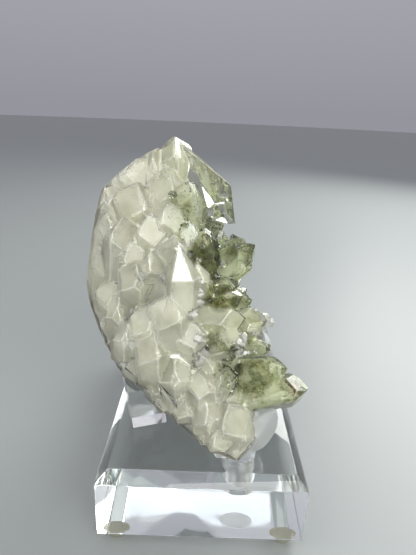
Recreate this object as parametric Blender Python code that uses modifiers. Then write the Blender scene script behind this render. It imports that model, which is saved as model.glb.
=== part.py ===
"""Garden quartz cluster on its clear acrylic stand.

A plate of quartz crystals, about 120 mm tall, stands on its lower tip in a clear
fishtail cradle, leans against a clear post and rests its far end on a clear peg.
All three stand on a clear block with four rubber feet, and the cradle has a rod that
goes down into a blind hole in the block. Lengths are in millimetres
here and are scaled to metres as the meshes are made. X runs along the front of the
block, Y runs back from its front face and Z is up from the underside of the block.
At the end an empty carries everything, so that the floor under the middle of the
whole object is the origin.
"""

import math
import random

import bmesh
import bpy
from mathutils import Matrix, Vector

MM = 0.001
# Left between two pieces that touch
GAP = 0.3
# Points closer than this, in metres, are one point
WELD = 0.00001
SLIVER = 0.00002

BLOCK_WIDTH = 84.0
BLOCK_DEPTH = 150.0
BLOCK_HEIGHT = 30.0
BLOCK_CHAMFER = 4.5

FOOT_RADIUS = 5.55
FOOT_HEIGHT = 5.1
FOOT_FLAT_RADIUS = 2.4
FOOT_INSET_X = 7.5
FOOT_INSET_Y = 6.6
FOOT_BAND = 0.9
FOOT_DOME_STEPS = 6
FOOT_SIDES = 20

ROD_RADIUS = 6.35
ROD_SIDES = 32
ROD_INTO_CRADLE = 4.0
HOLE_DEPTH = 13.0
PEG_X = 8.0
PEG_Y = 92.0
PEG_BLANK_TOP = 60.0
CRADLE_X = 15.2
CRADLE_Y = 16.7
CRADLE_THICKNESS = 13.0
CRADLE_ROUNDING = 1.5
# The fishtail seen from the front, as X and Z, from its left lip round underneath
CRADLE_OUTLINE = [
    (0.7, 37.5), (3.2, 34.2), (5.6, 31), (6.4, 30.3), (20.6, 30.3), (21.2, 31.5),
    (21.5, 35), (24.4, 37), (25.9, 39.2), (27.2, 41.7), (28.2, 44.2), (28.9, 47),
    (29, 51.4), (28.2, 53.8), (26.6, 55.5), (23, 54), (14, 44), (6, 42),
]

POST_WIDTH = 15.0
POST_DEPTH = 12.0
POST_X = -23.7
POST_Y = 31.0
POST_TURN = 19.0
POST_LEAN = -6.5
POST_BLANK_HEIGHT = 60.0
POST_BELOW_TOP = 2.0
POST_TOP_POINT = (-33, 29, 50.5)
POST_TOP_NORMAL = (0.24, -0.7, 0.68)

# The rhombohedron faces of quartz stand 51.8 degrees off the long axis
TERMINATION_ANGLE = math.radians(51.8)
# The top radius of a prism over the bottom one, and its thickness over its width
CRYSTAL_TAPER = 0.94
CRYSTAL_FLATTENING = (0.88, 1.0)
# How far the small end faces stand off and the main one is set in, over the radius
SMALL_FACE_RISE = (0.12, 0.4)
MAIN_FACE_SINK = (0.1, 0.3)
# How much a crystal's direction strays from the way its group points
NEAR_STRAY = 0.1
HIDDEN_STRAY = 0.2
SEED = 12

# Corners of the grown-together mass that the crystals stand on. The rim is the left
# edge of the near end, where the crystals break off at the stained back. It runs
# from the lower tip round to the top, and near crystals are cut off along it.
RIM = [
    (2, 11, 35), (-17, 16, 50), (-26, 20, 57), (-36, 24, 63), (-44, 28, 78),
    (-48, 31, 88), (-50, 34, 96), (-48, 36, 112), (-46, 38, 124), (-43, 40, 134),
    (-37, 43, 139), (-30, 45, 145), (-22, 47, 149),
]
RIM_MARGIN = 0.2
RIM_MARGIN_STEP = 0.06
RIM_MARGIN_COUNT = 7
NEAR_FACE = [
    (14, 7, 33), (19, 8, 39), (22, 12, 44), (12, 10, 54), (4, 9, 54), (-4, 11, 58),
    (-14, 13, 60), (0, 11, 70), (-10, 11, 76), (4, 16, 68), (-22, 16, 72), (-31, 21, 80),
    (-18, 14, 88), (-8, 14, 90), (-31, 23, 92), (-40, 28, 97), (-16, 17, 104),
    (-25, 22, 108), (-37, 28, 111), (-8, 24, 106), (-15, 25, 117), (-25, 29, 121),
    (-37, 33, 124), (-18, 35, 133), (-29, 38, 135), (-11, 38, 137), (-8, 33, 114),
]
RIGHT_FACE = [
    (16, 26, 56), (-4, 28, 90), (0, 44, 108), (8, 44, 88), (14, 42, 70), (20, 36, 50),
    (19, 42, 43), (-6, 60, 132), (-2, 70, 118), (5, 72, 98), (12, 72, 80), (17, 72, 62),
    (16, 70, 46), (-5, 100, 112), (3, 102, 92), (11, 100, 72), (13, 98, 50),
]
BACK_AND_UNDERSIDE = [
    (-52, 62, 94), (-47, 66, 118), (-34, 70, 137), (-16, 60, 142), (-44, 90, 100),
    (-30, 96, 122), (-14, 84, 134), (-24, 112, 98), (-8, 114, 90), (2, 112, 70),
    (-4, 108, 54), (-36, 98, 84), (-44, 82, 78), (-33, 37, 59), (-30, 60, 56),
    (-14, 64, 46), (6, 60, 40), (10, 92, 42), (-12, 96, 50),
]

# Crystals of the near end: tip, width and length, grouped by the way they point
APEX = ((0.0, -0.28, 0.96), [
    ((-16, 46, 154), 16, 30),
])
UPPER = ((0.0, -0.28, 0.96), [
    ((-24, 45, 150), 16, 26), ((-31, 44, 146), 16, 26),
    ((-29, 33, 138), 18, 26), ((-19, 38, 143), 16, 26), ((-33, 27, 126), 17, 26),
    ((-23, 26, 128), 15, 26), ((-16, 27, 132), 14, 32), ((-10, 34, 139), 14, 36),
    ((-9, 27, 126), 11, 30),
])
LEFT = ((-0.2, -0.3, 0.92), [
    ((-37, 42, 141), 15, 22), ((-42, 38, 136), 13, 22), ((-41, 33, 126), 15, 20),
    ((-43, 32, 112), 15, 22), ((-39, 26, 103), 16, 22), ((-45, 33, 98), 12, 16),
    ((-40, 27, 88), 12, 16), ((-35, 23, 79), 11, 14), ((-36, 28, 118), 15, 20),
])
MIDDLE = ((-0.02, -0.4, 0.92), [
    ((-29, 22, 118), 15, 24), ((-22, 19, 116), 15, 24), ((-14, 18, 122), 15, 28),
    ((-11, 17, 113), 12, 30), ((-27, 16, 112), 17, 26), ((-5, 18, 112), 14, 30),
    ((-14, 8, 104), 18, 30), ((-22, 13, 98), 16, 24), ((-34, 21, 97), 16, 24),
    ((-30, 17, 89), 16, 20), ((-20, 9, 89), 17, 26), ((-7, 9, 93), 14, 30),
    ((-1, 22, 104), 12, 30), ((-4, 30, 122), 11, 28),
])
LOWER = ((0.02, -0.42, 0.9), [
    ((-28, 17, 77), 13, 16), ((-12, 7, 79), 15, 24), ((-20, 13, 68), 12, 13),
    ((-3, 6, 74), 14, 26), ((-12, 8, 69), 12, 18), ((-8, 8, 60), 11, 12),
    ((-16, 13, 60), 9, 8), ((0, 6, 62), 14, 18), ((9, 6, 61), 17, 22),
    ((15, 7, 53), 12, 15), ((6, 5, 52), 13, 11), ((1, 8, 48), 10, 6),
    ((5, 8, 72), 12, 24),
])
# Corners of the one crystal whose end is a tall flat triangle, which comes first here
TALL_FACE = [
    (-11.7, 12.5, 121.2), (-13.6, 7.4, 108.4), (-6.2, 8.1, 108.9), (-14, 7, 96),
    (-5.6, 7.6, 96), (-16.5, 16, 107), (-3.6, 16, 108), (-16, 18, 96), (-3, 18, 96),
    (-10, 23, 106), (-10, 22, 96),
]
# Corners of the large clear crystal at the top right, which shows two broad flat faces
CLEAR_TOP = [
    (-14.5, 47, 152.5), (-7.3, 50, 147), (7.2, 54, 134.8), (10.1, 55, 118.4),
    (7.2, 53, 118.5), (-5.6, 43, 137.6), (-9.2, 44, 148), (6, 74, 131), (8.3, 74, 114.5),
    (-14, 70, 146), (-12, 60, 120), (-12, 46, 125),
]
# Crystals of the right side, each with its own direction
RIGHT = [
    ((4, 46, 120), (0.84, -0.25, 0.45), 9, 16),
    ((5, 50, 128), (0.82, -0.25, 0.5), 9, 16), ((2, 42, 115), (0.85, -0.3, 0.42), 9, 16),
    ((1, 33, 117), (0.5, -0.34, 0.78), 16, 26), ((18, 42, 113), (0.66, -0.2, 0.72), 13, 28),
    ((14, 46, 114), (0.62, -0.24, 0.66), 9, 22), ((17, 40, 108), (0.6, -0.27, 0.7), 9, 22),
    ((12, 34, 98), (0.88, -0.24, 0.32), 11, 22), ((13, 25, 97), (0.92, -0.3, 0.2), 12, 26),
    ((14, 18, 91), (0.95, -0.2, 0.12), 13, 28), ((26, 42, 80), (0.85, -0.22, 0.46), 17, 30),
    ((14, 13, 86), (0.83, -0.3, 0.42), 15, 28), ((27, 32, 70), (0.93, -0.24, 0.24), 11, 26),
    ((32, 18, 70), (0.94, -0.18, 0.26), 14, 34), ((40.5, 15, 63), (0.96, -0.11, 0.25), 14, 42),
    ((24, 14, 48), (0.8, -0.38, 0.4), 10, 12), ((12, 9, 72), (0.7, -0.4, 0.6), 11, 20),
    ((29, 44, 66), (0.9, -0.1, 0.3), 13, 22), ((27, 34, 57), (0.9, -0.1, 0.2), 12, 22),
    ((27, 47, 54), (0.9, 0.0, 0.2), 13, 22), ((23, 54, 74), (0.88, -0.1, 0.4), 15, 22),
    ((15, 54, 88), (0.86, -0.1, 0.45), 14, 22), ((10, 54, 102), (0.8, -0.1, 0.5), 14, 22),
]
# Crystals of the right side's rear, of the top and of the far end stand in staggered
# rows. A row is the height of its tips and how far out they reach.
RIGHT_LEAN = (0.86, 0.08, 0.5)
RIGHT_ROWS = [(126, 0), (115, 5), (104, 11), (92, 14), (80, 21), (68, 27), (58, 27)]
RIGHT_FIRST_Y = 58.0
RIGHT_LAST_Y = 112.0
TOP_LEAN = (-0.1, 0.3, 0.95)
TOP_ROWS = [(62, 146), (74, 144), (86, 139), (98, 129), (108, 118)]
TOP_CREST_X = -20.0
TOP_FALL = 0.037
TOP_FIRST_X = -44.0
TOP_LAST_X = -6.0
END_LEAN = (0.05, 0.85, 0.5)
END_ROWS = [(106, 117), (94, 119), (82, 119), (71, 117), (62, 113)]
END_FIRST_X = -26.0
END_LAST_X = 8.0
ROW_PITCH = 12.0
HIDDEN_WIDTH = 15.0
HIDDEN_LENGTH = 22.0
HIDDEN_WIDTH_RANGE = (0.85, 1.15)
TIP_STRAY = 1.5
RIGHT_FALL = 0.07
# Only crystals that reach lower than this come near the holders
HOLDER_REACH = 66.0


def clear_scene():
    """Start from an empty file."""
    for obj in list(bpy.data.objects):
        bpy.data.objects.remove(obj, do_unlink=True)


def make_material(name, color, roughness, transmission=0.0, ior=1.5):
    """One plain Principled material."""
    material = bpy.data.materials.new(name)
    material.use_nodes = True
    shader = material.node_tree.nodes["Principled BSDF"]
    shader.inputs["Base Color"].default_value = (*color, 1.0)
    shader.inputs["Roughness"].default_value = roughness
    shader.inputs["Metallic"].default_value = 0.0
    shader.inputs["Transmission Weight"].default_value = transmission
    shader.inputs["IOR"].default_value = ior
    return material


def add_object(name, bm, collection, material=None):
    """Turn a mesh in millimetres into an object in metres."""
    bmesh.ops.scale(bm, vec=(MM, MM, MM), verts=bm.verts)
    bmesh.ops.recalc_face_normals(bm, faces=bm.faces)
    mesh = bpy.data.meshes.new(name)
    bm.to_mesh(mesh)
    bm.free()
    obj = bpy.data.objects.new(name, mesh)
    collection.objects.link(obj)
    if material:
        mesh.materials.append(material)
    return obj


def add_cutter(name, bm, collection):
    """A guide solid: hidden, and drawn as wire."""
    obj = add_object(name, bm, collection)
    obj.hide_render = True
    obj.display_type = "WIRE"
    return obj


def cut(obj, cutter):
    """Take the cutter's shape out of the object."""
    modifier = obj.modifiers.new("cut_" + cutter.name, "BOOLEAN")
    modifier.operation = "DIFFERENCE"
    modifier.solver = "EXACT"
    modifier.object = cutter


def convex_solid(points):
    """The smallest convex solid round a set of points."""
    bm = bmesh.new()
    for point in points:
        bm.verts.new(point)
    bmesh.ops.convex_hull(bm, input=bm.verts)
    loose = [v for v in bm.verts if not v.link_faces]
    bmesh.ops.delete(bm, geom=loose, context="VERTS")
    bm.normal_update()
    return bm


def slice_off(bm, point, normal):
    """Cut everything on the normal's side away and close the cut."""
    geometry = list(bm.verts) + list(bm.edges) + list(bm.faces)
    bmesh.ops.bisect_plane(bm, geom=geometry, plane_co=point, plane_no=normal, clear_outer=True)
    open_edges = [e for e in bm.edges if e.is_boundary]
    if open_edges:
        bmesh.ops.holes_fill(bm, edges=open_edges)


def crystal_solid(tip, direction, width, length, dice):
    """A six-sided prism, a little narrower upward, that ends in three large and three small faces."""
    radius = width / 2
    bm = bmesh.new()
    bmesh.ops.create_cone(
        bm, cap_ends=True, segments=6, radius1=radius, radius2=radius * CRYSTAL_TAPER,
        depth=length,
    )
    bmesh.ops.translate(bm, verts=bm.verts, vec=(0, 0, -length / 2))
    main_face = dice.choice((0, 2, 4))
    for side in range(6):
        angle = math.radians(60 * side + 30)
        normal = Vector((
            math.cos(angle) * math.sin(TERMINATION_ANGLE),
            math.sin(angle) * math.sin(TERMINATION_ANGLE),
            math.cos(TERMINATION_ANGLE),
        ))
        rise = radius * dice.uniform(*SMALL_FACE_RISE) if side % 2 else 0.0
        if side == main_face:
            rise = -radius * dice.uniform(*MAIN_FACE_SINK)
        slice_off(bm, Vector((0, 0, rise)), normal)
    highest = max(bm.verts, key=lambda v: v.co.z).co.copy()
    bmesh.ops.translate(bm, verts=bm.verts, vec=-highest)
    bmesh.ops.scale(bm, vec=(dice.uniform(*CRYSTAL_FLATTENING), 1.0, 1.0), verts=bm.verts)
    turn = Matrix.Rotation(dice.uniform(0, math.tau), 4, "Z")
    aim = Vector(direction).normalized().to_track_quat("Z", "Y").to_matrix().to_4x4()
    bm.transform(Matrix.Translation(tip) @ aim @ turn)
    bm.normal_update()
    return bm


def trim_to_rim(bm, index):
    """Cut a near crystal off along the rim, each crystal at its own hair outside the mass."""
    margin = RIM_MARGIN + RIM_MARGIN_STEP * (index % RIM_MARGIN_COUNT)
    for (x0, _, z0), (x1, _, z1) in zip(RIM, RIM[1:]):
        outward = Vector((z0 - z1, 0, x1 - x0)).normalized()
        slice_off(bm, Vector((x0, 0, z0)) + outward * margin, outward)
    bm.normal_update()


def strayed(vector, amount, dice):
    """A point or direction moved by up to an amount along each axis."""
    return Vector(vector) + Vector([dice.uniform(-amount, amount) for _ in range(3)])


def hidden_tips(dice):
    """Direction and tip of each crystal of the right side's rear, the top and the far end."""
    tips = []
    for row, (z, x) in enumerate(RIGHT_ROWS):
        y = RIGHT_FIRST_Y + (row % 2) * ROW_PITCH / 2
        while y < RIGHT_LAST_Y:
            fall = (y - RIGHT_FIRST_Y) * RIGHT_FALL
            tips.append((RIGHT_LEAN, strayed((x - fall, y, z - fall), TIP_STRAY, dice)))
            y += ROW_PITCH
    for row, (y, z) in enumerate(TOP_ROWS):
        x = TOP_FIRST_X + (row % 2) * ROW_PITCH / 2
        while x < TOP_LAST_X:
            fall = TOP_FALL * (x - TOP_CREST_X) ** 2
            tips.append((TOP_LEAN, strayed((x, y, z - fall), TIP_STRAY, dice)))
            x += ROW_PITCH
    for row, (z, y) in enumerate(END_ROWS):
        x = END_FIRST_X + (row % 2) * ROW_PITCH / 2
        while x < END_LAST_X:
            tips.append((END_LEAN, strayed((x, y, z), TIP_STRAY, dice)))
            x += ROW_PITCH
    return tips


def grown(bm, amount):
    """The same convex solid with every face moved outward."""
    larger = bmesh.new()
    centre = sum((v.co for v in bm.verts), Vector()) / len(bm.verts)
    planes = [(f.calc_center_median(), f.normal.copy()) for f in bm.faces]
    span = max((v.co - centre).length for v in bm.verts) + 10 * amount
    bmesh.ops.create_cube(larger, size=2 * span)
    bmesh.ops.translate(larger, verts=larger.verts, vec=centre)
    for point, normal in planes:
        if normal.dot(point - centre) < 0:
            normal.negate()
        slice_off(larger, point + normal * amount, normal)
    return larger


def settle(obj):
    """Apply an object's modifiers and keep its one body, without pockets or loose slivers."""
    evaluated = obj.evaluated_get(bpy.context.evaluated_depsgraph_get())
    bm = bmesh.new()
    bm.from_mesh(evaluated.to_mesh())
    obj.modifiers.clear()
    keep_largest_body(bm)
    bmesh.ops.remove_doubles(bm, verts=bm.verts, dist=SLIVER)
    bmesh.ops.dissolve_degenerate(bm, edges=bm.edges, dist=SLIVER)
    loose = [e for e in bm.edges if not e.link_faces]
    bmesh.ops.delete(bm, geom=loose, context="EDGES")
    bm.to_mesh(obj.data)
    bm.free()


def keep_largest_body(bm):
    """Drop every body but the one with the most surface."""
    left = set(bm.faces)
    bodies = []
    while left:
        stack = [left.pop()]
        body = set(stack)
        while stack:
            face = stack.pop()
            for edge in face.edges:
                for other in edge.link_faces:
                    if other in left:
                        left.discard(other)
                        body.add(other)
                        stack.append(other)
        bodies.append(body)
    keep = max(bodies, key=lambda body: sum(f.calc_area() for f in body))
    drop = [f for f in bm.faces if f not in keep]
    bmesh.ops.delete(bm, geom=drop, context="FACES")


def turned_solid(name, profile, steps, collection, material):
    """A solid of revolution about its own Z, from a profile in millimetres that runs top to bottom."""
    mesh = bpy.data.meshes.new(name)
    points = [(r * MM, 0, z * MM) for r, z in profile]
    mesh.from_pydata(points, [(i, i + 1) for i in range(len(points) - 1)], [])
    obj = bpy.data.objects.new(name, mesh)
    collection.objects.link(obj)
    mesh.materials.append(material)
    screw = obj.modifiers.new("turn", "SCREW")
    screw.steps = steps
    screw.render_steps = steps
    screw.use_merge_vertices = True
    screw.merge_threshold = WELD
    screw.use_normal_calculate = False
    return obj


def outline_solid(name, points, thickness, rounding):
    """A plate with rounded edges, sawn to an outline in X and Z, as a mesh object in metres."""
    curve = bpy.data.curves.new(name, "CURVE")
    curve.dimensions = "2D"
    curve.fill_mode = "BOTH"
    curve.extrude = (thickness / 2 - rounding) * MM
    curve.bevel_depth = rounding * MM
    curve.bevel_resolution = 2
    curve.offset = -rounding * MM
    spline = curve.splines.new("POLY")
    spline.points.add(len(points) - 1)
    for point, (x, z) in zip(spline.points, points):
        point.co = (x * MM, z * MM, 0, 1)
    spline.use_cyclic_u = True
    shape = bpy.data.objects.new(name + "_outline", curve)
    bpy.context.scene.collection.objects.link(shape)
    evaluated = shape.evaluated_get(bpy.context.evaluated_depsgraph_get())
    mesh = bpy.data.meshes.new_from_object(evaluated)
    bpy.data.objects.remove(shape, do_unlink=True)
    bm = bmesh.new()
    bm.from_mesh(mesh)
    bmesh.ops.remove_doubles(bm, verts=bm.verts, dist=WELD)
    bmesh.ops.rotate(bm, verts=bm.verts, matrix=Matrix.Rotation(math.radians(90), 3, "X"))
    bmesh.ops.recalc_face_normals(bm, faces=bm.faces)
    bm.to_mesh(mesh)
    bm.free()
    mesh.name = name
    return bpy.data.objects.new(name, mesh)


def main():
    clear_scene()
    parts = bpy.data.collections.new("garden_quartz_cluster")
    cutters = bpy.data.collections.new("cutters")
    grains = bpy.data.collections.new("crystals_before_joining")
    for collection in (parts, cutters, grains):
        bpy.context.scene.collection.children.link(collection)

    quartz = make_material("quartz", (0.47, 0.46, 0.37), 0.12, 0.3, 1.54)
    acrylic = make_material("acrylic", (0.93, 0.95, 0.96), 0.03, 1.0, 1.49)
    rubber = make_material("bumper", (0.83, 0.78, 0.62), 0.35, 0.5, 1.5)

    # The cluster: the mass first, then every crystal, then one joined solid
    dice = random.Random(SEED)
    solids = [convex_solid(RIM + NEAR_FACE + RIGHT_FACE + BACK_AND_UNDERSIDE)]
    solids += [convex_solid(TALL_FACE), convex_solid(CLEAR_TOP)]
    for group in (APEX, UPPER, LEFT, MIDDLE, LOWER):
        direction, crystals = group
        for tip, width, length in crystals:
            lean = strayed(direction, NEAR_STRAY, dice)
            bm = crystal_solid(tip, lean, width, length, dice)
            if group is not APEX:
                trim_to_rim(bm, len(solids))
            solids.append(bm)
    for tip, direction, width, length in RIGHT:
        solids.append(crystal_solid(tip, direction, width, length, dice))
    for direction, tip in hidden_tips(dice):
        lean = strayed(direction, HIDDEN_STRAY, dice)
        width = HIDDEN_WIDTH * dice.uniform(*HIDDEN_WIDTH_RANGE)
        solids.append(crystal_solid(tip, lean, width, HIDDEN_LENGTH, dice))

    low = [bm for bm in solids if min(v.co.z for v in bm.verts) < HOLDER_REACH]
    clearance = [grown(bm, GAP) for bm in low]
    mass, *crystals = solids
    cluster = add_object("quartz_cluster", mass, parts, quartz)
    for index, bm in enumerate(crystals):
        add_cutter("crystal_%03d" % index, bm, grains)
    union = cluster.modifiers.new("grow_together", "BOOLEAN")
    union.operation = "UNION"
    union.solver = "EXACT"
    union.operand_type = "COLLECTION"
    union.collection = grains
    settle(cluster)
    for obj in list(grains.objects):
        bpy.data.objects.remove(obj, do_unlink=True)
    bpy.data.collections.remove(grains)

    hollows = [add_cutter("clearance_%03d" % i, bm, cutters) for i, bm in enumerate(clearance)]

    # The block: chamfered round its top, with a blind hole for the cradle's rod
    bm = bmesh.new()
    bmesh.ops.create_cube(bm, size=1)
    bmesh.ops.scale(bm, vec=(BLOCK_WIDTH, BLOCK_DEPTH, BLOCK_HEIGHT), verts=bm.verts)
    bmesh.ops.translate(bm, vec=(0, BLOCK_DEPTH / 2, BLOCK_HEIGHT / 2), verts=bm.verts)
    top_edges = [e for e in bm.edges if all(v.co.z > BLOCK_HEIGHT - 1 for v in e.verts)]
    bmesh.ops.bevel(bm, geom=top_edges, offset=BLOCK_CHAMFER, segments=1, affect="EDGES")
    block = add_object("base_block", bm, parts, acrylic)
    bm = bmesh.new()
    bmesh.ops.create_cone(
        bm, cap_ends=True, segments=ROD_SIDES, radius1=ROD_RADIUS + GAP,
        radius2=ROD_RADIUS + GAP, depth=2 * HOLE_DEPTH,
    )
    bmesh.ops.translate(bm, vec=(CRADLE_X, CRADLE_Y, BLOCK_HEIGHT), verts=bm.verts)
    cut(block, add_cutter("rod_hole", bm, cutters))

    # The cradle: a fishtail sawn from sheet on a short rod, hollowed by the cluster
    rod_foot = BLOCK_HEIGHT - HOLE_DEPTH + GAP
    cradle = outline_solid("front_cradle", CRADLE_OUTLINE, CRADLE_THICKNESS, CRADLE_ROUNDING)
    bm = bmesh.new()
    rod_top = BLOCK_HEIGHT + ROD_INTO_CRADLE
    bmesh.ops.create_cone(
        bm, cap_ends=True, segments=ROD_SIDES, radius1=ROD_RADIUS, radius2=ROD_RADIUS,
        depth=rod_top - rod_foot,
    )
    middle = (rod_top + rod_foot) / 2
    bmesh.ops.translate(bm, vec=(CRADLE_X, CRADLE_Y, middle), verts=bm.verts)
    rod = add_cutter("cradle_rod", bm, cutters)
    parts.objects.link(cradle)
    cradle.data.materials.append(acrylic)
    cradle.location.y = CRADLE_Y * MM
    join = cradle.modifiers.new("join_rod", "BOOLEAN")
    join.operation = "UNION"
    join.solver = "EXACT"
    join.object = rod

    # The rear peg: a plain rod that stands under the far end, cut to the underside
    peg_foot = BLOCK_HEIGHT + GAP
    peg_profile = [
        (0, PEG_BLANK_TOP), (ROD_RADIUS, PEG_BLANK_TOP), (ROD_RADIUS, peg_foot), (0, peg_foot),
    ]
    peg = turned_solid("rear_peg", peg_profile, ROD_SIDES, parts, acrylic)
    peg.location = (PEG_X * MM, PEG_Y * MM, 0)

    # The post: a bar that stands on the block, leaning, sawn at a slant and cut to the
    # cluster's back
    bm = bmesh.new()
    bmesh.ops.create_cube(bm, size=1)
    bmesh.ops.scale(bm, vec=(POST_WIDTH, POST_DEPTH, POST_BLANK_HEIGHT), verts=bm.verts)
    bmesh.ops.translate(bm, vec=(0, POST_DEPTH / 2, POST_BLANK_HEIGHT / 2), verts=bm.verts)
    bmesh.ops.rotate(bm, verts=bm.verts, matrix=Matrix.Rotation(math.radians(POST_LEAN), 3, "Y"))
    bmesh.ops.rotate(bm, verts=bm.verts, matrix=Matrix.Rotation(math.radians(POST_TURN), 3, "Z"))
    bmesh.ops.translate(bm, vec=(POST_X, POST_Y, BLOCK_HEIGHT - POST_BELOW_TOP), verts=bm.verts)
    slice_off(bm, Vector((0, 0, BLOCK_HEIGHT + GAP)), Vector((0, 0, -1)))
    slice_off(bm, Vector(POST_TOP_POINT), Vector(POST_TOP_NORMAL))
    post = add_object("rear_post", bm, parts, acrylic)

    for holder in (cradle, peg, post):
        for cutter in hollows:
            cut(holder, cutter)
        settle(holder)

    # The feet: domed bumpers with a small flat underneath
    rise = FOOT_HEIGHT - FOOT_BAND
    bumper_profile = [(0, -GAP), (FOOT_RADIUS, -GAP), (FOOT_RADIUS, -FOOT_BAND)]
    for step in range(1, FOOT_DOME_STEPS):
        angle = math.radians(90 * step / FOOT_DOME_STEPS)
        reach = FOOT_FLAT_RADIUS + (FOOT_RADIUS - FOOT_FLAT_RADIUS) * math.cos(angle)
        bumper_profile.append((reach, -FOOT_BAND - rise * math.sin(angle)))
    bumper_profile += [(FOOT_FLAT_RADIUS, -FOOT_HEIGHT), (0, -FOOT_HEIGHT)]
    side = BLOCK_WIDTH / 2 - FOOT_INSET_X
    places = {
        "foot_front_left": (-side, FOOT_INSET_Y),
        "foot_front_right": (side, FOOT_INSET_Y),
        "foot_back_left": (-side, BLOCK_DEPTH - FOOT_INSET_Y),
        "foot_back_right": (side, BLOCK_DEPTH - FOOT_INSET_Y),
    }
    for name, (x, y) in places.items():
        foot = turned_solid(name, bumper_profile, FOOT_SIDES, parts, rubber)
        foot.location = (x * MM, y * MM, 0)

    # The origin: on the floor under the middle of the whole object
    bpy.context.view_layer.update()
    corners = [o.matrix_world @ Vector(c) for o in parts.objects for c in o.bound_box]
    low_x = min(c.x for c in corners)
    high_x = max(c.x for c in corners)
    low_y = min(c.y for c in corners)
    high_y = max(c.y for c in corners)
    carrier = bpy.data.objects.new("origin_on_floor", None)
    parts.objects.link(carrier)
    carrier.location = (-(low_x + high_x) / 2, -(low_y + high_y) / 2, FOOT_HEIGHT * MM)
    for obj in list(parts.objects) + list(cutters.objects):
        if obj is not carrier:
            obj.parent = carrier


main()
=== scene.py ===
import math
import random

import bmesh
import bpy
from mathutils import Matrix, Vector, noise
from mathutils.bvhtree import BVHTree


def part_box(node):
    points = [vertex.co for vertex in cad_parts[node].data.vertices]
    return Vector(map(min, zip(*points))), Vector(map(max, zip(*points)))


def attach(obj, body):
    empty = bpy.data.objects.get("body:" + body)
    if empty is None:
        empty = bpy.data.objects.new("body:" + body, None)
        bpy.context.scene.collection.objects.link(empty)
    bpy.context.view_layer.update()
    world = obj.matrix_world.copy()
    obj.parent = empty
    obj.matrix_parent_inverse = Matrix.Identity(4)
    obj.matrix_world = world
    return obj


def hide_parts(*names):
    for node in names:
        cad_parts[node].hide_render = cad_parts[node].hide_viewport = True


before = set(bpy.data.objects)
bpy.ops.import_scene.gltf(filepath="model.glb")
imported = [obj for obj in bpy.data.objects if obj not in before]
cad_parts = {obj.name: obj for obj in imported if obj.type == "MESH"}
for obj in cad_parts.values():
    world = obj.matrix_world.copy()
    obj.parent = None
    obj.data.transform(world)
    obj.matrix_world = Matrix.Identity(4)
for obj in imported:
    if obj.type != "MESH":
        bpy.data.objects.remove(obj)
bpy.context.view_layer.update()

# Studio: a pale table top, soft grey air, and four soft lights. The camera stands in
# front of the block and looks down at 20 degrees through a short lens, with a slight
# roll, as the specimen was looked at.

MM = 0.001


def new_material(name):
    """An empty node material, with its tree and its shader."""
    material = bpy.data.materials.new(name)
    material.use_nodes = True
    tree = material.node_tree
    return material, tree, tree.nodes["Principled BSDF"]


def node(tree, kind, **settings):
    """Add a node; a setting that it has no field for is one of its input sockets."""
    made = tree.nodes.new(kind)
    for key, value in settings.items():
        if hasattr(made, key):
            setattr(made, key, value)
        else:
            made.inputs[key.replace("_", " ")].default_value = value
    return made


def colour_ramp(tree, *stops):
    """A colour ramp with these stops, each a position and a colour."""
    made = node(tree, "ShaderNodeValToRGB")
    first, *between, last = stops
    elements = made.color_ramp.elements
    for element, (position, colour) in zip(elements, (first, last)):
        element.position = position
        element.color = (*colour, 1)
    for position, colour in between:
        elements.new(position).color = (*colour, 1)
    return made


def soft_light(name, place, target, width, height, watts, tint):
    """A large area light that shines from a place towards a target."""
    bpy.ops.object.light_add(type="AREA", location=place)
    light = bpy.context.object
    light.name = name
    aim = Vector(target) - Vector(place)
    light.rotation_euler = aim.to_track_quat("-Z", "Y").to_euler()
    light.data.shape = "RECTANGLE"
    light.data.size = width
    light.data.size_y = height
    light.data.energy = watts
    light.data.color = tint


# The block's lowest front edge, at its middle, is the place that the rest is told from
block_low, block_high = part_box("base_block")
front_foot = Vector(((block_low.x + block_high.x) / 2, block_low.y, block_low.z))


def from_foot(x, y, z):
    """The place this many millimetres to the right of the foot, behind it and above it."""
    return front_foot + Vector((x, y, z)) * MM


camera_angles = (69.6766, -2.3886, 0.2889)
bpy.ops.object.camera_add(
    location=from_foot(-2.67, -138.06, 164.46),
    rotation=[math.radians(angle) for angle in camera_angles],
)
camera = bpy.context.object
camera.name = "studio_camera"
camera.data.lens = 29.6
camera.data.clip_start = 0.005
bpy.context.scene.camera = camera
bpy.context.scene.view_settings.view_transform = "Standard"
# Light is thrown back many times inside the clear block before it leaves it
bpy.context.scene.cycles.max_bounces = 24
bpy.context.scene.cycles.glossy_bounces = 16
bpy.context.scene.cycles.transmission_bounces = 24

table_radius = 6.0
bpy.ops.mesh.primitive_circle_add(
    vertices=64, radius=table_radius, fill_type="NGON", location=(0, 0, 0)
)
table_top = bpy.context.object
table_top.name = "table_top"
surface, tree, shader = new_material("pale_table")
shader.inputs["Base Color"].default_value = (0.27, 0.29, 0.29, 1)
shader.inputs["Roughness"].default_value = 0.45
table_top.data.materials.append(surface)

air = bpy.data.worlds.new("studio_air")
bpy.context.scene.world = air
air.use_nodes = True
tree = air.node_tree
sky = tree.nodes["Background"]
direction = node(tree, "ShaderNodeTexCoord")
height = node(tree, "ShaderNodeSeparateXYZ")
shade = colour_ramp(tree, (0.0, (0.30, 0.30, 0.34)), (0.9, (0.62, 0.62, 0.66)))
tree.links.new(direction.outputs["Generated"], height.inputs[0])
tree.links.new(height.outputs["Z"], shade.inputs[0])
tree.links.new(shade.outputs[0], sky.inputs["Color"])
sky.inputs["Strength"].default_value = 1.0

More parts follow.
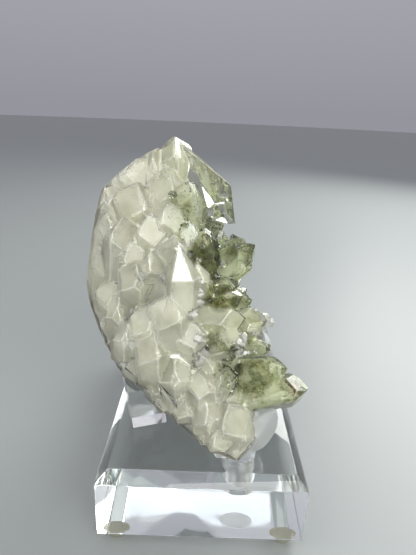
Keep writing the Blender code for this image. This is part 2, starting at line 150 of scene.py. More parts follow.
middle = (0.0, -0.02, 0.09)
soft_light(
    "top_light", (-0.55, -0.25, 0.75), middle,
    width=0.6, height=0.6, watts=2.4, tint=(1.0, 0.98, 0.92),
)
soft_light(
    "side_light", (0.3, -0.78, 0.45), middle,
    width=0.9, height=0.7, watts=8.6, tint=(1.0, 0.99, 0.92),
)
soft_light(
    "back_light", (0.6, 0.7, 0.6), middle,
    width=0.7, height=0.5, watts=10.0, tint=(0.98, 1.0, 0.96),
)
soft_light(
    "front_light", (0.04, -0.85, 0.43), middle,
    width=0.22, height=0.22, watts=1.5, tint=(0.80, 0.88, 1.0),
)

# Stand block: one block of clear cast acrylic, sawn, milled with a chamfer round its
# top and polished. A blind hole drilled in its top takes the cradle's rod.


def clear_acrylic(name):
    """Polished acrylic: clear, with faint smears and a very faint grey-green body colour."""
    material, tree, shader = new_material(name)
    shader.inputs["Base Color"].default_value = (0.97, 0.985, 0.985, 1)
    shader.inputs["Transmission Weight"].default_value = 1.0
    shader.inputs["IOR"].default_value = 1.49
    place = node(tree, "ShaderNodeTexCoord")
    smears = node(tree, "ShaderNodeTexNoise", Scale=90.0, Detail=4.0)
    rough = node(tree, "ShaderNodeMapRange", To_Min=0.0, To_Max=0.05)
    tree.links.new(place.outputs["Object"], smears.inputs["Vector"])
    tree.links.new(smears.outputs["Fac"], rough.inputs["Value"])
    tree.links.new(rough.outputs[0], shader.inputs["Roughness"])
    body = node(tree, "ShaderNodeVolumeAbsorption")
    body.inputs["Color"].default_value = (0.62, 0.74, 0.74, 1)
    body.inputs["Density"].default_value = 1.4
    output = tree.nodes["Material Output"]
    tree.links.new(body.outputs[0], output.inputs["Volume"])
    return material, tree, shader


def pick(*chosen):
    """Select these objects and nothing else, and make the first one active."""
    bpy.ops.object.select_all(action="DESELECT")
    for thing in chosen:
        thing.select_set(True)
    bpy.context.view_layer.objects.active = chosen[0]


def select_edges(piece, wanted):
    """In edit mode, select the edges whose two ends pass a test."""
    bpy.ops.mesh.select_all(action="DESELECT")
    shape = bmesh.from_edit_mesh(piece.data)
    for edge in shape.edges:
        edge.select = wanted(edge.verts[0].co) and wanted(edge.verts[1].co)
    shape.select_flush_mode()
    bmesh.update_edit_mesh(piece.data)


def apply_modifier(piece, kind, **settings):
    """Add a modifier, set it and apply it."""
    pick(piece)
    bpy.ops.object.modifier_add(type=kind)
    modifier = piece.modifiers[-1]
    for key, value in settings.items():
        setattr(modifier, key, value)
    bpy.ops.object.modifier_apply(modifier=modifier.name)


block_size = block_high - block_low
chamfer = 4.5 * MM
edge_break = 0.25 * MM
bpy.ops.mesh.primitive_cube_add(size=1, location=(block_low + block_high) / 2, scale=block_size)
block = bpy.context.object
block.name = "stand_block"
bpy.ops.object.transform_apply(location=True, rotation=True, scale=True)
bpy.ops.object.mode_set(mode="EDIT")
select_edges(block, lambda co: co.z > block_high.z - MM)
bpy.ops.mesh.bevel(offset=chamfer, segments=1, affect="EDGES")
bpy.ops.mesh.select_all(action="SELECT")
bpy.ops.mesh.bevel(offset=edge_break, segments=2, affect="EDGES")
bpy.ops.object.mode_set(mode="OBJECT")

hole_radius = 6.65 * MM
hole_depth = 13.0 * MM
hole_place = from_foot(15.2, 16.7, 30)
bpy.ops.mesh.primitive_cylinder_add(
    vertices=64, radius=hole_radius, depth=2 * hole_depth, location=hole_place
)
drill = bpy.context.object
apply_modifier(block, "BOOLEAN", operation="DIFFERENCE", solver="EXACT", object=drill)
bpy.data.objects.remove(drill, do_unlink=True)

pick(block)
bpy.ops.object.shade_smooth_by_angle(angle=math.radians(20))
drilled, tree, shader = clear_acrylic("drilled_acrylic")
# The drill left the wall and the floor of the hole matt
matt_starts = hole_radius + 0.3 * MM
matt_full = hole_radius + 0.1 * MM
place = node(tree, "ShaderNodeTexCoord")
from_axis = node(tree, "ShaderNodeVectorMath", operation="SUBTRACT")
from_axis.inputs[1].default_value = hole_place
flat = node(tree, "ShaderNodeVectorMath", operation="MULTIPLY")
flat.inputs[1].default_value = (1, 1, 0)
reach = node(tree, "ShaderNodeVectorMath", operation="LENGTH")
matt = node(tree, "ShaderNodeMapRange", From_Min=matt_starts, From_Max=matt_full, To_Max=0.45)
polish = shader.inputs["Roughness"].links[0].from_socket
rougher = node(tree, "ShaderNodeMath", operation="MAXIMUM")
tree.links.new(place.outputs["Object"], from_axis.inputs[0])
tree.links.new(from_axis.outputs[0], flat.inputs[0])
tree.links.new(flat.outputs[0], reach.inputs[0])
tree.links.new(reach.outputs["Value"], matt.inputs["Value"])
tree.links.new(polish, rougher.inputs[0])
tree.links.new(matt.outputs[0], rougher.inputs[1])
tree.links.new(rougher.outputs[0], shader.inputs["Roughness"])
block.data.materials.append(drilled)
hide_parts("base_block")
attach(block, "root")

# Holders: a fishtail cradle on a rod, a plain rod and a slanted bar, all of the same
# clear acrylic and glued to the block. Each has the place hollowed out where the
# specimen lies in it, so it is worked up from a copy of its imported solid.

acrylic = clear_acrylic("clear_acrylic")[0]
# The saw and the file left the fishtail frosted
sawn_acrylic, tree, shader = clear_acrylic("sawn_acrylic")
shader.inputs["Transmission Weight"].default_value = 0.85
tree.links.remove(shader.inputs["Roughness"].links[0])
shader.inputs["Roughness"].default_value = 0.3
sawn_above = block_high.z + 2 * MM


def solid_copy(source_name, name):
    """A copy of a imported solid, with its loose triangles joined into flat faces."""
    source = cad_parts[source_name]
    mesh = source.data.copy()
    mesh.materials.clear()
    piece = bpy.data.objects.new(name, mesh)
    bpy.context.collection.objects.link(piece)
    pick(piece)
    bpy.ops.object.mode_set(mode="EDIT")
    bpy.ops.mesh.select_all(action="SELECT")
    bpy.ops.mesh.remove_doubles(threshold=0.005 * MM)
    bpy.ops.mesh.dissolve_limited(angle_limit=math.radians(0.5))
    bpy.ops.object.mode_set(mode="OBJECT")
    return piece


for source_name, name in (
    ("front_cradle", "fishtail_cradle"), ("rear_post", "slanted_post"), ("rear_peg", "far_peg"),
):
    holder = solid_copy(source_name, name)
    apply_modifier(
        holder, "BEVEL", width=0.2 * MM, segments=2, limit_method="ANGLE",
        angle_limit=math.radians(35), use_clamp_overlap=True,
    )
    pick(holder)
    bpy.ops.object.shade_smooth_by_angle(angle=math.radians(25))
    holder.data.materials.append(acrylic)
    if name == "fishtail_cradle":
        holder.data.materials.append(sawn_acrylic)
        for face in holder.data.polygons:
            face.material_index = int(face.center.z > sawn_above)
    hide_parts(source_name)
    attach(holder, "root")

# Bumpers: four domed stick-on feet of clear, slightly yellowed polyurethane. One is
# rounded from a short round slug, and each foot under the block is a copy of it.

bumper_radius = 5.55 * MM
bumper_flat = 2.4 * MM
glue_overlap = 0.05 * MM
bumper_height = block_low.z + glue_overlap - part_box("foot_front_left")[0].z
bpy.ops.mesh.primitive_cylinder_add(
    vertices=48, radius=bumper_radius, depth=bumper_height, location=(0, 0, bumper_height / 2)
)
bumper = bpy.context.object
bpy.ops.object.transform_apply(location=True, rotation=True, scale=True)
bpy.ops.object.mode_set(mode="EDIT")
select_edges(bumper, lambda co: co.z < bumper_height / 2)
bpy.ops.mesh.bevel(offset=bumper_radius - bumper_flat, segments=8, profile=0.5, affect="EDGES")
select_edges(bumper, lambda co: co.z > bumper_height - 0.01 * MM)
bpy.ops.mesh.bevel(offset=edge_break, segments=2, affect="EDGES")
bpy.ops.object.mode_set(mode="OBJECT")
bpy.ops.object.shade_smooth_by_angle(angle=math.radians(30))

polyurethane, tree, shader = new_material("clear_bumper")
shader.inputs["Base Color"].default_value = (0.93, 0.89, 0.72, 1)
shader.inputs["Transmission Weight"].default_value = 0.8
shader.inputs["IOR"].default_value = 1.5
place = node(tree, "ShaderNodeTexCoord")
haze = node(tree, "ShaderNodeTexNoise", Scale=400.0, Detail=3.0)
rough = node(tree, "ShaderNodeMapRange", To_Min=0.12, To_Max=0.3)
tree.links.new(place.outputs["Object"], haze.inputs["Vector"])
tree.links.new(haze.outputs["Fac"], rough.inputs["Value"])
tree.links.new(rough.outputs[0], shader.inputs["Roughness"])
bumper.data.materials.append(polyurethane)

for corner in ("front_left", "front_right", "back_left", "back_right"):
    foot_low, foot_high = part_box("foot_" + corner)
    foot = bpy.data.objects.new("bumper_" + corner, bumper.data.copy())
    bpy.context.collection.objects.link(foot)
    centre = (foot_low + foot_high) / 2
    foot.data.transform(Matrix.Translation((centre.x, centre.y, foot_low.z)))
    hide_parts("foot_" + corner)
    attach(foot, "root")
bpy.data.objects.remove(bumper, do_unlink=True)

# Crystals: the outer faces of the grown-together plate. They are milky near the left
# and below, and clear towards the right and the top. The broken back is rough and
# stained by iron.

# The plane up to which the quartz is milky. The clear ends stand on its far side.
milk_edge = from_foot(0, 44, 108)
clear_way = Vector((0.945, 0.05, 0.326)).normalized()
clear_past = 2 * MM

# Places where green chlorite gathers, in millimetres from the block's foot, with how
# wide each patch is and how thickly it is covered
green_patches = [
    ((-2, 30, 112), 8, 1.0), ((3, 34, 106), 7, 1.0), ((4, 24, 97), 7, 1.0),
    ((9, 24, 96), 6, 1.0), ((11, 12, 71), 7, 0.6), ((18, 16, 66), 8, 0.8),
    ((2, 13, 84), 4, 0.5), ((7, 10, 82), 4, 0.6), ((11, 47, 111), 6, 0.7),
    ((17, 42, 108), 4, 0.8), ((34, 15, 63), 4, 0.5), ((-8, 32, 126), 11, 0.3),
    ((27, 40, 82), 11, 0.14), ((-1, 49, 121), 7, 0.7), ((18, 38, 74), 4, 0.5),
    ((20, 55, 84), 8, 0.6), ((16, 75, 96), 9, 0.7), ((24, 80, 72), 9, 0.7),
    ((12, 95, 84), 9, 0.7), ((28, 60, 60), 8, 0.6), ((18, 100, 60), 8, 0.6),
]
green_enough = 0.15

# Lumps of the right side that are frosted and pale, with how far each one reaches
pale_lumps = [
    (from_foot(26, 42, 80), 13 * MM), (from_foot(23, 50, 72), 9 * MM),
    (from_foot(27, 34, 60), 6 * MM), (from_foot(14, 15, 88), 8 * MM),
]


def past_milk(spot):
    """How far a place lies on the clear side of the plane up to which quartz is milky."""
    return (spot - milk_edge).dot(clear_way)


def greenness(spot):
    """How thickly the chlorite lies at a place, from 0 to 1.

    A patch is full out to 0.8 of its spread and has thinned to nothing at 1.3 of it.
    """
    most = 0.0
    for place, spread, cover in green_patches:
        away = (spot - front_foot - Vector(place) * MM).length / (spread * MM)
        most = max(most, cover * min(1.0, 2.6 - 2.0 * away))
    return most


def is_clear(spot):
    """Whether the faces at a place are clear, or seen through to show the chlorite."""
    return past_milk(spot) > clear_past or greenness(spot) > green_enough


def in_pale_lump(spot):
    """Whether a place lies in one of the pale lumps."""
    return any((spot - centre).length < spread for centre, spread in pale_lumps)


def quartz_skin(name, dark, pale, transmission, roughness, turned, relief=0.05 * MM):
    """Quartz faces with growth lines across the long axis and shallow growth hills."""
    material, tree, shader = new_material(name)
    shader.inputs["Transmission Weight"].default_value = transmission
    shader.inputs["IOR"].default_value = 1.54
    shader.inputs["Roughness"].default_value = roughness
    place = node(tree, "ShaderNodeTexCoord")
    turn = node(tree, "ShaderNodeMapping", Rotation=[math.radians(angle) for angle in turned])
    lines = node(tree, "ShaderNodeTexWave", wave_type="BANDS", bands_direction="Z")
    lines.inputs["Scale"].default_value = 420.0
    lines.inputs["Distortion"].default_value = 5.0
    lines.inputs["Detail"].default_value = 3.0
    lines.inputs["Detail Scale"].default_value = 0.4
    hills = node(tree, "ShaderNodeTexNoise", Scale=500.0, Detail=4.0)
    swell = node(tree, "ShaderNodeTexVoronoi", Scale=260.0, Randomness=1.0)
    tree.links.new(place.outputs["Object"], turn.inputs["Vector"])
    for texture in (lines, hills, swell):
        tree.links.new(turn.outputs[0], texture.inputs["Vector"])
    # The lines count for little beside the hills, and the wide swell for most
    fine = node(tree, "ShaderNodeMath", operation="MULTIPLY_ADD")
    tree.links.new(lines.outputs["Fac"], fine.inputs[0])
    fine.inputs[1].default_value = 0.3
    tree.links.new(hills.outputs["Fac"], fine.inputs[2])
    total = node(tree, "ShaderNodeMath", operation="MULTIPLY_ADD")
    tree.links.new(swell.outputs["Distance"], total.inputs[0])
    total.inputs[1].default_value = 2.2
    tree.links.new(fine.outputs[0], total.inputs[2])
    bump = node(tree, "ShaderNodeBump", Strength=0.4, Distance=relief)
    tree.links.new(total.outputs[0], bump.inputs["Height"])
    tree.links.new(bump.outputs[0], shader.inputs["Normal"])
    cloud = node(tree, "ShaderNodeTexNoise", Scale=110.0, Detail=5.0)
    colour = colour_ramp(tree, (0.35, dark), (0.65, pale))
    tree.links.new(place.outputs["Object"], cloud.inputs["Vector"])
    tree.links.new(cloud.outputs["Fac"], colour.inputs[0])
    # The facet tone scales the colour: it differs at random from face to face, and it darkens the
    # valley edges as painted shade
    tone = node(tree, "ShaderNodeAttribute", attribute_name="facet_tone")
    toned = node(tree, "ShaderNodeVectorMath", operation="SCALE")
    tree.links.new(colour.outputs[0], toned.inputs[0])
    tree.links.new(tone.outputs["Fac"], toned.inputs["Scale"])
    tree.links.new(toned.outputs[0], shader.inputs["Base Color"])
    return material


crystals = solid_copy("quartz_cluster", "quartz_crystals")
milky_face = quartz_skin(
    "milky_quartz_face", dark=(0.76, 0.76, 0.66), pale=(0.97, 0.97, 0.89),
    transmission=0.87, roughness=0.03, turned=(20, 0, 0),
)
clear_face = quartz_skin(
    "clear_quartz_face", dark=(0.76, 0.80, 0.66), pale=(0.95, 0.97, 0.91),
    transmission=1.0, roughness=0.03, turned=(0, 70, -10),
)
stained_face = quartz_skin(
    "stained_quartz_face", dark=(0.30, 0.24, 0.14), pale=(0.60, 0.56, 0.44),
    transmission=0.2, roughness=0.5, turned=(20, 0, 0), relief=0.6 * MM,
)
# The crystals' edges are rubbed and frosted, and they are also painted whiter than the faces as a
# painted highlight along them
worn_highlit_edge = quartz_skin(
    "worn_highlit_quartz_edge", dark=(0.90, 0.90, 0.80), pale=(0.98, 0.98, 0.93),
    transmission=0.62, roughness=0.15, turned=(20, 0, 0),
)
rusty_edge = quartz_skin(
    "rusty_quartz_edge", dark=(0.42, 0.22, 0.05), pale=(0.72, 0.56, 0.28),
    transmission=0.3, roughness=0.35, turned=(20, 0, 0),
)
skins = (milky_face, clear_face, stained_face, worn_highlit_edge, rusty_edge)
MILKY, CLEAR, STAINED, WORN_HIGHLIT, RUSTY = range(len(skins))
for material in skins:
    crystals.data.materials.append(material)
# The bevel gives each edge faces of its own, which take the whitened edge skin: partly wear, partly
# painted highlight
apply_modifier(
    crystals, "BEVEL", width=0.15 * MM, segments=1, limit_method="ANGLE",
    angle_limit=math.radians(18), use_clamp_overlap=False, material=WORN_HIGHLIT,
)
skin_tree = BVHTree.FromObject(crystals, bpy.context.evaluated_depsgraph_get())

# Each flat face is a little lighter or darker than the next, as its depth differs, and
# the edges that lie in a valley between two crystals are darkened as painted shade
tones = crystals.data.attributes.new("facet_tone", "FLOAT", "FACE")
shades = random.Random(8)
darkest_facet = 0.8
valley_shade = 0.6
valley_width = 20 * MM
valley_floor = front_foot.z + 64 * MM
smoky_top = from_foot(1, 58, 134)
smoky_reach = 20 * MM
smoky_tone = 0.84
# The broken back faces this way and has nothing of the specimen in front of it
back_way = Vector((-0.8, 0.1, -0.6)).normalized()
squarely_back = 0.55
off_skin = 0.1 * MM
facet_shades = {}
valleys = []
for face in crystals.data.polygons:
    level = face.center.dot(face.normal) / MM
    facet = (*[round(part, 1) for part in face.normal], round(level, 0))
    if facet not in facet_shades:
        facet_shades[facet] = shades.uniform(darkest_facet, 1.0)
    tones.data[face.index].value = facet_shades[facet]
    start = face.center + face.normal * off_skin
    if face.material_index == WORN_HIGHLIT:
        in_valley = skin_tree.ray_cast(start, face.normal, valley_width)[0] is not None
        # An edge face in a valley between two crystals is darkened: painted shade
        tones.data[face.index].value = valley_shade if in_valley else 1.0
        if in_valley and face.center.z > valley_floor:
            valleys.append((face.center.copy(), face.normal.copy()))
    elif (face.center - smoky_top).length < smoky_reach:
        tones.data[face.index].value *= smoky_tone
    backward = face.normal.dot(back_way) > squarely_back and face.normal.y > 0.0
    if backward and skin_tree.ray_cast(start, back_way)[0] is None:
        face.material_index = STAINED
    elif in_pale_lump(face.center):
        face.material_index = MILKY
    elif is_clear(face.center):
        face.material_index = CLEAR
stained_edges = set()
for face in crystals.data.polygons:
    if face.material_index == STAINED:
        stained_edges.update(face.edge_keys)
for face in crystals.data.polygons:
    if face.material_index == WORN_HIGHLIT and stained_edges.intersection(face.edge_keys):
        face.material_index = RUSTY
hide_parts("quartz_cluster")
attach(crystals, "root")

# Small points: late quartz crystals, one to four millimetres across, that sit in the
# valleys between the large ones and on the large bare faces of the right side. One is
# modelled, with its tip at the origin, and its mesh is set in each place.

dice = random.Random(21)
cap_height = 0.9
shaft_length = 1.0
bpy.ops.mesh.primitive_cylinder_add(
    vertices=6, radius=1.0, depth=shaft_length, location=(0, 0, -cap_height - shaft_length / 2)
)
shaft = bpy.context.object
bpy.ops.mesh.primitive_cone_add(
    vertices=6, radius1=1.0, radius2=0.12, depth=cap_height, location=(0, 0, -cap_height / 2)
)
cap = bpy.context.object
pick(shaft, cap)
bpy.ops.object.join()
bpy.ops.object.transform_apply(location=True, rotation=True, scale=True)
bpy.ops.object.mode_set(mode="EDIT")
bpy.ops.mesh.select_all(action="DESELECT")
# The shaft's end and the cap's foot lie on each other and come out
shape = bmesh.from_edit_mesh(shaft.data)
for face in shape.faces:
    face.select = abs(face.calc_center_median().z + cap_height) < 0.01
bpy.ops.mesh.delete(type="FACE")
bpy.ops.mesh.select_all(action="SELECT")
bpy.ops.mesh.remove_doubles(threshold=0.001)
bpy.ops.object.mode_set(mode="OBJECT")

# How many are tried in each kind of place, and half the width of the largest, in
# millimetres
points_in_valleys = 420
points_on_flats = 260
valley_point = 1.7
flat_point = 2.0
flat_area = 60 * MM ** 2
faces_right = 0.5
flats_bottom = front_foot.z + 62 * MM
flats_top = smoky_top.z - 15 * MM
room_from = 0.3 * MM
room_widths = 2.5
bare_flats = [
    face for face in crystals.data.polygons
    if face.area > flat_area and face.normal.x > faces_right
    and flats_bottom < face.center.z < flats_top
]
stems = []
for count in range(points_in_valleys + points_on_flats):
    if count < points_in_valleys:
        place, outward = dice.choice(valleys)
        width = dice.uniform(0.5, 1.0) ** 2 * valley_point * MM
    else:
        flat = dice.choice(bare_flats)
        chosen = dice.sample(list(flat.vertices), 3)
        first, second, third = [crystals.data.vertices[corner].co for corner in chosen]
        part = dice.random()
        place = first.lerp(second, part).lerp(third, dice.random() ** 0.5)
        outward = flat.normal
        width = dice.uniform(0.6, 1.0) * flat_point * MM
    # A point needs room in front of it
    if skin_tree.ray_cast(place + outward * room_from, outward, room_widths * width)[0] is not None:
        continue
    stray = Vector([dice.gauss(0, 0.35) for axis in range(3)])
    aim = (outward + stray).normalized().to_track_quat("Z", "Y").to_matrix().to_4x4()
    size = Matrix.Diagonal((width, width * dice.uniform(0.8, 1), width * dice.uniform(1, 1.5), 1))
    tip = place + outward * width * dice.uniform(0.6, 1.1)
    turned = Matrix.Rotation(dice.uniform(0, 1), 4, "Z")
    stems.append(Matrix.Translation(tip) @ aim @ turned @ size)
corners = [stem @ vertex.co for stem in stems for vertex in shaft.data.vertices]
corner_count = len(shaft.data.vertices)
sides = [
    [index * corner_count + corner for corner in face.vertices]
    for index in range(len(stems)) for face in shaft.data.polygons
]
mesh = bpy.data.meshes.new("small_points")
mesh.from_pydata(corners, [], sides)
small_points = bpy.data.objects.new("small_points", mesh)
bpy.context.collection.objects.link(small_points)
bpy.data.objects.remove(shaft, do_unlink=True)
small_points.data.materials.append(worn_highlit_edge)
small_points.data.materials.append(clear_face)
tones = mesh.attributes.new("facet_tone", "FLOAT", "FACE")
for face in mesh.polygons:
    tones.data[face.index].value = dice.uniform(0.7, 0.9)
    face.material_index = int(is_clear(face.center) and not in_pale_lump(face.center))
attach(small_points, "root")

# Milky body: the cloudy quartz under the faces, which fills the root of every
# crystal. It thins out towards the clear side, where it carries green and brown
# chlorite dust, and it stops short of the clearest crystal at the top right.

core_reach = 16 * MM
core_top = from_foot(0, 45, 107)
core_top_way = Vector((-0.35, -0.25, 1)).normalized()


def keep_below(piece, plane_point, plane_way):
    """Cut a piece at a plane, keep the side that the way points from, and close it."""
    pick(piece)
    bpy.ops.object.mode_set(mode="EDIT")
    bpy.ops.mesh.select_all(action="SELECT")
    bpy.ops.mesh.bisect(plane_co=plane_point, plane_no=plane_way, use_fill=True, clear_outer=True)
    bpy.ops.object.mode_set(mode="OBJECT")


# One half ends at the milky edge, and the other goes on past it, below the clear top
core = solid_copy("quartz_cluster", "milky_body")
low_core = core.copy()
low_core.data = core.data.copy()
bpy.context.collection.objects.link(low_core)
keep_below(core, milk_edge, clear_way)
keep_below(low_core, milk_edge + clear_way * core_reach, clear_way)
keep_below(low_core, core_top, core_top_way)
pick(core, low_core)
bpy.ops.object.join()
apply_modifier(core, "REMESH", mode="VOXEL", voxel_size=0.8 * MM)

# How deep the quartz is clear over the cloudy body: a mean, more or less of it from
# place to place, and more towards the clear side
mean_depth = 1.8
uneven_depth = 2.1
clear_side_depth = 4.0
least_depth = 0.6 * MM
cloud_width = 7 * MM
for vertex in core.data.vertices:
    nearest, outward = skin_tree.find_nearest(vertex.co)[:2]
    aside = max(past_milk(vertex.co) / core_reach, 0)
    cloudiness = noise.noise(vertex.co / cloud_width)
    clear_depth = (mean_depth + uneven_depth * cloudiness + clear_side_depth * aside ** 2) * MM
    if in_pale_lump(vertex.co):
        clear_depth = least_depth
    clear_depth = max(clear_depth, least_depth)
    if (nearest - vertex.co).dot(outward) < clear_depth:
        vertex.co = nearest - outward * clear_depth
pick(core)
bpy.ops.object.mode_set(mode="EDIT")
bpy.ops.mesh.select_all(action="SELECT")
bpy.ops.mesh.vertices_smooth(factor=0.5, repeat=1)
bpy.ops.object.mode_set(mode="OBJECT")

cover = core.data.attributes.new("chlorite_cover", "FLOAT", "POINT")
for vertex in core.data.vertices:
    cover.data[vertex.index].value = greenness(vertex.co)

milk, tree, shader = new_material("milky_quartz_body")
shader.inputs["Roughness"].default_value = 0.6
shader.inputs["Subsurface Weight"].default_value = 0.3
shader.inputs["Subsurface Radius"].default_value = (1.0, 0.95, 0.85)
shader.inputs["Subsurface Scale"].default_value = 3 * MM
place = node(tree, "ShaderNodeTexCoord")
cloud = node(tree, "ShaderNodeTexNoise", Scale=90.0, Detail=6.0)
milks = colour_ramp(tree, (0.35, (0.72, 0.71, 0.58)), (0.65, (0.97, 0.96, 0.86)))
green_noise = node(tree, "ShaderNodeTexNoise", Scale=130.0, Detail=6.0, Roughness=0.65)
greens = colour_ramp(tree, (0.32, (0.50, 0.54, 0.22)), (0.52, (0.91, 0.94, 0.69)))
# The milk turns green past the milky edge, along a wobbling front
green_starts = milk_edge.dot(clear_way) - 2 * MM
green_full = milk_edge.dot(clear_way) + 18 * MM
aside = node(tree, "ShaderNodeVectorMath", operation="DOT_PRODUCT")
aside.inputs[1].default_value = clear_way
wobble = node(tree, "ShaderNodeMath", operation="MULTIPLY_ADD")
wobble.inputs[1].default_value = 20 * MM
share = node(tree, "ShaderNodeMapRange", From_Min=green_starts, From_Max=green_full)
blend = node(tree, "ShaderNodeMix", data_type="RGBA")
for texture in (cloud, green_noise):
    tree.links.new(place.outputs["Object"], texture.inputs["Vector"])
tree.links.new(cloud.outputs["Fac"], milks.inputs[0])
tree.links.new(green_noise.outputs["Fac"], greens.inputs[0])
tree.links.new(place.outputs["Object"], aside.inputs[0])
tree.links.new(cloud.outputs["Fac"], wobble.inputs[0])
tree.links.new(aside.outputs["Value"], wobble.inputs[2])
tree.links.new(wobble.outputs[0], share.inputs["Value"])
tree.links.new(share.outputs[0], blend.inputs["Factor"])
tree.links.new(milks.outputs[0], blend.inputs["A"])
tree.links.new(greens.outputs[0], blend.inputs["B"])
# The patches of chlorite are dark olive with yellower flecks, and noise breaks them up
patch = node(tree, "ShaderNodeAttribute", attribute_name="chlorite_cover")
flecks = node(tree, "ShaderNodeTexNoise", Scale=420.0, Detail=8.0, Roughness=0.7)
olives = colour_ramp(tree, (0.4, (0.17, 0.15, 0.04)), (0.66, (0.64, 0.66, 0.32)))
cover_edge = node(tree, "ShaderNodeMath", operation="MULTIPLY_ADD")
cover_edge.inputs[1].default_value = 2.2
covered = node(tree, "ShaderNodeMapRange", From_Min=1.45, From_Max=1.95)
grown_over = node(tree, "ShaderNodeMix", data_type="RGBA")
tree.links.new(place.outputs["Object"], flecks.inputs["Vector"])
tree.links.new(flecks.outputs["Fac"], olives.inputs[0])
tree.links.new(green_noise.outputs["Fac"], cover_edge.inputs[0])
tree.links.new(patch.outputs["Fac"], cover_edge.inputs[2])
tree.links.new(cover_edge.outputs[0], covered.inputs["Value"])
tree.links.new(covered.outputs[0], grown_over.inputs["Factor"])
tree.links.new(blend.outputs["Result"], grown_over.inputs["A"])
tree.links.new(olives.outputs[0], grown_over.inputs["B"])
tree.links.new(grown_over.outputs["Result"], shader.inputs["Base Color"])
core.data.materials.append(milk)
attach(core, "root")

# Chlorite: green flakes that settled on the crystals while they grew and were grown
# over. They lie in patches one or two millimetres under the clear faces, and some are
# strewn through the rest of the clear side.

dice = random.Random(4)


def scatter_grains(name, spots, size):
    """One mesh of flat eight-sided grains, each lying across the way given for it."""
    corners = []
    sides = []
    for spot, way in spots:
        first = way.orthogonal().normalized()
        second = way.cross(first).normalized()
        radius = size * dice.uniform(0.5, 1.3)
        start = len(corners)
        corners += [
            spot + first * radius, spot + second * radius * 0.8,
            spot - first * radius * 0.9, spot - second * radius,
            spot + way * radius * 0.3, spot - way * radius * 0.3,
        ]
        for step in range(4):
            here, there = start + step, start + (step + 1) % 4
            sides += [(here, there, start + 4), (there, here, start + 5)]
    mesh = bpy.data.meshes.new(name)
    mesh.from_pydata(corners, [], sides)
    grains = bpy.data.objects.new(name, mesh)
    bpy.context.collection.objects.link(grains)
    return grains


def random_way():
    """A random direction."""
    return Vector([dice.gauss(0, 1) for axis in range(3)]).normalized()


def lying(outward):
    """The way that a flake faces: much as the crystal's face over it, but askew."""
    return (outward + 0.8 * random_way()).normalized()


def buried(spot):
    """How deep a place is under the crystals' faces, and the way out."""
    nearest, outward = skin_tree.find_nearest(spot)[:2]
    return (nearest - spot).dot(outward), outward


def dull_mineral(name, roughness, mottling, detail, *stops):
    """An opaque, dull mineral, mottled with the colours of these stops."""
    material, tree, shader = new_material(name)
    shader.inputs["Roughness"].default_value = roughness
    place = node(tree, "ShaderNodeTexCoord")
    patches = node(tree, "ShaderNodeTexNoise", Scale=mottling, Detail=detail)
    colour = colour_ramp(tree, *stops)
    tree.links.new(place.outputs["Object"], patches.inputs["Vector"])
    tree.links.new(patches.outputs["Fac"], colour.inputs[0])
    tree.links.new(colour.outputs[0], shader.inputs["Base Color"])
    return material


flake_size = 0.25 * MM
flakes_per_area = 14
tries_per_flake = 20
patch_grain = 2.5 * MM
patch_shallow = 0.4 * MM
patch_deep = 1.6 * MM
spots = []
for place, spread, cover in green_patches:
    patch_flakes = int(flakes_per_area * cover * spread ** 2)
    wanted = len(spots) + patch_flakes
    for attempt in range(tries_per_flake * patch_flakes):
        spot = from_foot(*(Vector(place) + random_way() * spread * dice.random() ** 0.5))
        depth, outward = buried(spot)
        if patch_shallow < depth < patch_deep and noise.noise(spot / patch_grain) > -0.15:
            spots.append((spot, lying(outward)))
        if len(spots) == wanted:
            break

# The strewn flakes lie in clouds that thin out away from the milky edge
stray_flakes = 2500
cloud_grain = 6.5 * MM
stray_shallow = 0.5 * MM
stray_deep = 2.2 * MM
cluster_low, cluster_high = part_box("quartz_cluster")
wanted = len(spots) + stray_flakes
while len(spots) < wanted:
    spot = Vector([dice.uniform(low, high) for low, high in zip(cluster_low, cluster_high)])
    aside = past_milk(spot)
    if aside < -2 * MM or noise.noise(spot / cloud_grain) < 0.05 + 0.02 * aside / MM:
        continue
    depth, outward = buried(spot)
    if stray_shallow < depth < stray_deep:
        spots.append((spot, lying(outward)))
flakes = scatter_grains("chlorite_flakes", spots, flake_size)
flakes.data.materials.append(dull_mineral(
    "green_chlorite", 0.7, 260.0, 6.0,
    (0.38, (0.14, 0.10, 0.03)), (0.48, (0.16, 0.20, 0.06)), (0.62, (0.34, 0.40, 0.14)),
))
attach(flakes, "root")

# Rust: red-brown flakes of iron oxide near the longest tip and beside the middle,
# settled and grown over as the chlorite was.

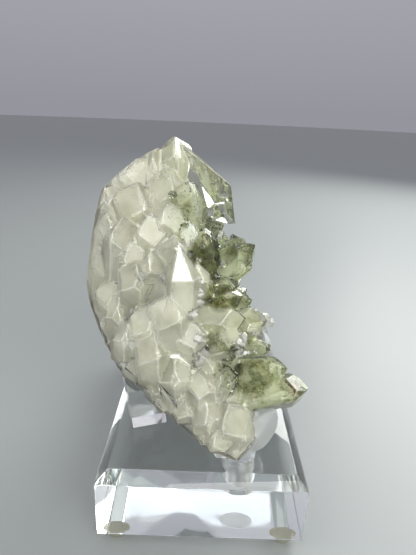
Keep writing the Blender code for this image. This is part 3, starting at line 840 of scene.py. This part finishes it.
# The middle of each place, how far it reaches, and how many rounds of tries it gets.
# The first tries of each round may leave a flake.
rust_places = [((34, 15, 62), 4, 70), ((-3, 8, 85), 2, 25), ((30, 14, 66), 3, 30)]
round_of_tries = 10
first_tries = 5
rust_shallow = 0.3 * MM
rust_deep = 2.5 * MM
rust_spots = []
for place, spread, rounds in rust_places:
    for attempt in range(rounds * round_of_tries):
        spot = from_foot(*(Vector(place) + random_way() * spread * dice.random()))
        depth, outward = buried(spot)
        if rust_shallow < depth < rust_deep and attempt % round_of_tries < first_tries:
            rust_spots.append((spot, lying(outward)))
rust = scatter_grains("rust_flakes", rust_spots, flake_size)
rust.data.materials.append(dull_mineral(
    "iron_rust", 0.7, 300.0, 4.0, (0.0, (0.12, 0.035, 0.01)), (1.0, (0.42, 0.20, 0.05)),
))
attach(rust, "root")

# Dark marks: healed cracks beside the highest point and down the left side, and two
# spots under the clear crystal, all filled with dark dust just under the faces. Each
# runs from one place to another, and has a width in millimetres and a count of grains.

mark_size = 0.17 * MM
mark_depths = (0.25, 0.7)
mark_runs = [
    ((-21, 44.5, 146), (-19.4, 42.2, 142.6), 0.25, 45),
    ((-7.6, 40, 138), (-6.6, 39, 135.5), 0.7, 60),
    ((-6, 44, 140.5), (-5, 43.5, 138.5), 0.5, 40),
    ((-24, 18, 102.5), (-23.2, 17.2, 97), 0.6, 50),
    ((-36, 19, 88), (-33.5, 18, 84), 0.5, 30),
    ((2, 12, 84), (4, 12, 82), 0.5, 25),
]
mark_spots = []
for start, end, spread, grains in mark_runs:
    for count in range(grains):
        along = Vector(start).lerp(Vector(end), dice.random())
        spot = from_foot(*(along + random_way() * spread))
        nearest, outward = skin_tree.find_nearest(spot)[:2]
        inward = outward * dice.uniform(*mark_depths) * MM
        mark_spots.append((nearest - inward, outward))
marks = scatter_grains("dark_marks", mark_spots, mark_size)
marks.data.materials.append(dull_mineral(
    "dark_dust", 0.6, 500.0, 4.0, (0.0, (0.02, 0.02, 0.018)), (1.0, (0.16, 0.15, 0.10)),
))
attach(marks, "root")
